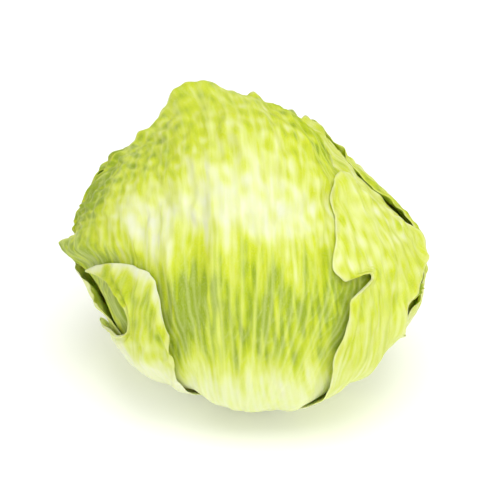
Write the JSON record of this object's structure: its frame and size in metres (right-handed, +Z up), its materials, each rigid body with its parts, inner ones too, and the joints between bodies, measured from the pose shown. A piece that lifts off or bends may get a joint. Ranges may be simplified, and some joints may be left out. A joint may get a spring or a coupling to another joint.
{
  "type": "head of lettuce",
  "caption": "Round crisphead lettuce with broad overlapping leaves wrapped over a tight heart, standing on its cut stem.",
  "frame": {"origin": "middle of the cut stem's underside, on the surface that the head stands on", "axes": "+Z up along the head, from the cut stem to the leaf tips; -Y is the front; +X is to the right of the front"},
  "size_m": [0.1647, 0.1543, 0.1368],
  "materials": {
    "cut_stem": "matte",
    "heart_leaf": "satin",
    "cap_leaf": "satin",
    "head_leaf": "satin",
    "wrapper_leaf": "satin"
  },
  "bodies": {
    "root": {"stem_butt": "cut_stem", "heart": "heart_leaf", "cap_leaf_back": "cap_leaf", "cap_leaf_left": "cap_leaf", "cap_leaf_right": "cap_leaf", "head_leaf_back_left": "head_leaf", "head_leaf_back_right": "head_leaf", "head_leaf_left": "head_leaf", "head_leaf_back": "head_leaf", "head_leaf_right": "head_leaf", "head_leaf_front": "head_leaf", "wrapper_leaf_back_right": "wrapper_leaf", "wrapper_leaf_back_left": "wrapper_leaf", "wrapper_leaf_left": "wrapper_leaf", "wrapper_leaf_right": "wrapper_leaf", "wrapper_leaf_front_left": "wrapper_leaf", "wrapper_leaf_back": "wrapper_leaf"}
  },
  "joints": []
}
